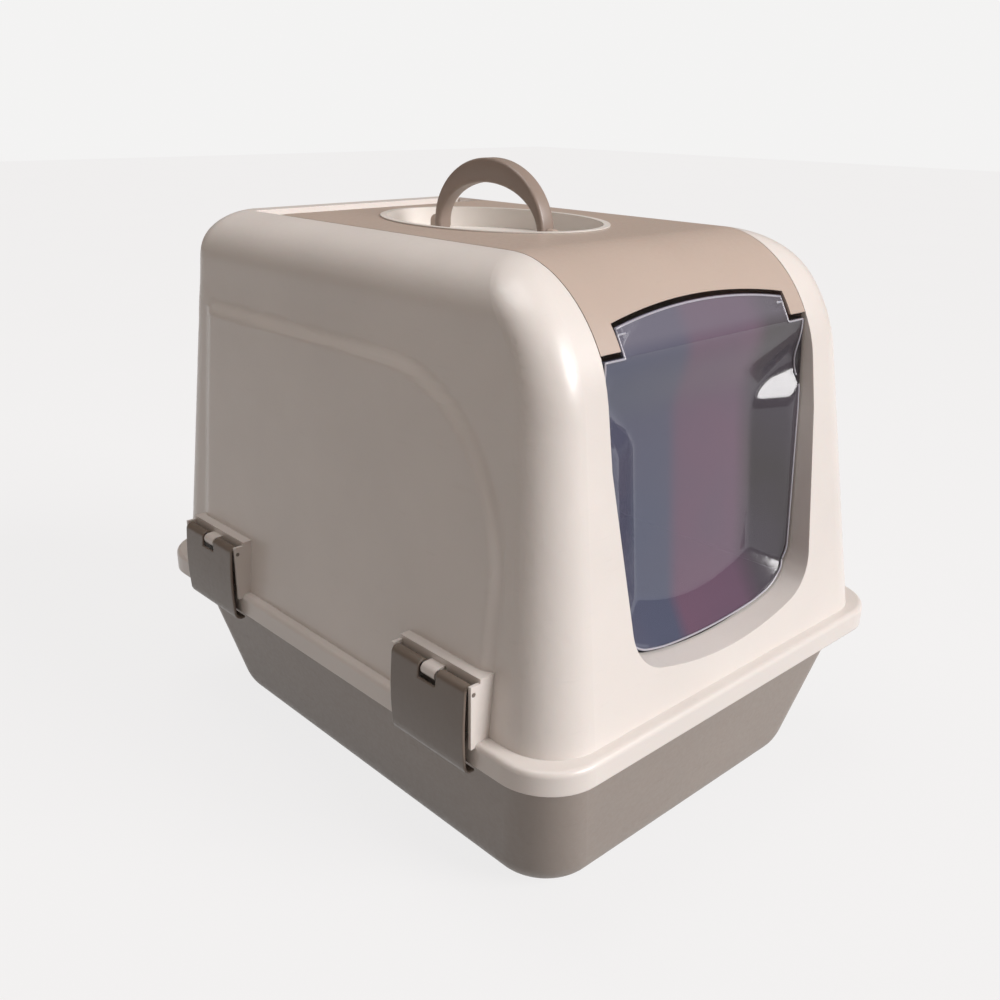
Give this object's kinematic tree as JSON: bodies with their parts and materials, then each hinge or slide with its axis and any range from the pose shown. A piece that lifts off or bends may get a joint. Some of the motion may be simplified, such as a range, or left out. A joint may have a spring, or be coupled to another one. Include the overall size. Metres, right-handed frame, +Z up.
{
  "type": "hooded cat litter box",
  "caption": "Hooded cat litter box: open tray, clip-on hood, hinged top hatch with carrying handle and filter, and a clear swing door.",
  "frame": {"origin": "middle of the tray's flat underside, on the floor", "axes": "+Z up; -Y is the front, with the swing door; +Y runs to the back; +X is to the right seen from the front"},
  "size_m": [0.412, 0.508, 0.49],
  "materials": {
    "tray_plastic": "satin moulded polypropylene, grey taupe",
    "hood_plastic": "satin moulded polypropylene, warm white",
    "lid_plastic": "satin moulded polypropylene, beige taupe",
    "cover_plastic": "satin moulded polypropylene, warm white",
    "handle_plastic": "satin moulded polypropylene, taupe",
    "clip_plastic": "satin moulded polypropylene, grey taupe",
    "door_smoke": "clear smoke-tinted sheet, glossy",
    "carbon_felt": "black needled carbon felt",
    "pin_plastic": "moulded hinge pins"
  },
  "bodies": {
    "tray": {"tray": "tray_plastic"},
    "hood": {"hood": "hood_plastic", "lid_hinge_pin_right": "pin_plastic", "lid_hinge_pin_left": "pin_plastic", "clip_pin_front_right": "pin_plastic", "clip_pin_front_left": "pin_plastic", "clip_pin_rear_right": "pin_plastic", "clip_pin_rear_left": "pin_plastic"},
    "lid": {"lid": "lid_plastic", "filter_cover": "cover_plastic", "carbon_filter": "carbon_felt", "filter_basket": "lid_plastic"},
    "door": {"swing_door": "door_smoke", "door_pin_right": "pin_plastic", "door_pin_left": "pin_plastic"},
    "handle": {"carry_handle": "handle_plastic", "handle_pin_rear": "pin_plastic", "handle_pin_front": "pin_plastic"},
    "clip_front_right": {"clip_front_right": "clip_plastic"},
    "clip_front_left": {"clip_front_left": "clip_plastic"},
    "clip_rear_right": {"clip_rear_right": "clip_plastic"},
    "clip_rear_left": {"clip_rear_left": "clip_plastic"}
  },
  "joints": [
    {"name": "hood_lift", "type": "slide", "parent": "tray", "child": "hood", "axis": [0, 0, 1], "range_m": [0, 0.32]},
    {"name": "lid_hinge", "type": "hinge", "parent": "hood", "child": "lid", "pos_m": [0, 0.1562, 0.4346], "axis": [-1, 0, 0], "range_deg": [0, 95]},
    {"name": "door_swing", "type": "hinge", "parent": "lid", "child": "door", "pos_m": [0, -0.1906, 0.3955], "axis": [1, 0, 0], "range_deg": [-75, 75]},
    {"name": "handle_fold", "type": "hinge", "parent": "lid", "child": "handle", "pos_m": [0, 0.019, 0.4365], "axis": [0, 1, 0], "range_deg": [0, 88]},
    {"name": "clip_front_right_hinge", "type": "hinge", "parent": "hood", "child": "clip_front_right", "pos_m": [0.201, -0.146, 0.181], "axis": [0, -1, 0], "range_deg": [0, 100]},
    {"name": "clip_front_left_hinge", "type": "hinge", "parent": "hood", "child": "clip_front_left", "pos_m": [-0.201, -0.146, 0.181], "axis": [0, 1, 0], "range_deg": [0, 100]},
    {"name": "clip_rear_right_hinge", "type": "hinge", "parent": "hood", "child": "clip_rear_right", "pos_m": [0.201, 0.146, 0.181], "axis": [0, -1, 0], "range_deg": [0, 100]},
    {"name": "clip_rear_left_hinge", "type": "hinge", "parent": "hood", "child": "clip_rear_left", "pos_m": [-0.201, 0.146, 0.181], "axis": [0, 1, 0], "range_deg": [0, 100]}
  ]
}
